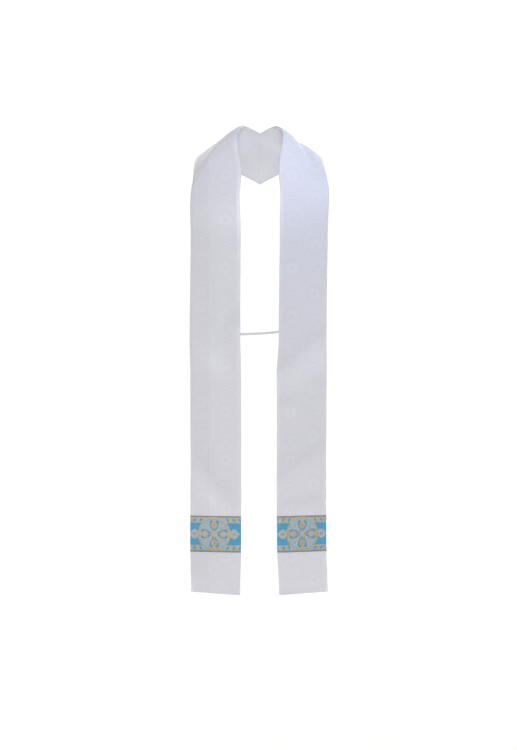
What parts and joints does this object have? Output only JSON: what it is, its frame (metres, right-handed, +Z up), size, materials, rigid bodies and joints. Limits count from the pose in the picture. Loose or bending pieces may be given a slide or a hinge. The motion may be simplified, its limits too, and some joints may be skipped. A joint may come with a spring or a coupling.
{
  "type": "priest's stole",
  "caption": "Worn priest's stole of white damask: two straight panels joined at the centre back, a woven band near each hem and a short link tape in front.",
  "frame": {"origin": "middle of the wearer's neck, level with the shoulder line beside it", "axes": "+Z up, the front faces -Y, the wearer's left half hangs on the +X side"},
  "size_m": [0.3532, 0.2171, 1.1872],
  "materials": {
    "damask": "white figured damask, soft sheen",
    "woven_band": "blue galloon woven with gold and light blue figures",
    "plain_tape": "plain white woven tape"
  },
  "bodies": {
    "root": {"left_panel": "damask", "right_panel": "damask", "left_band": "woven_band", "right_band": "woven_band", "link_tape": "plain_tape"}
  },
  "joints": []
}
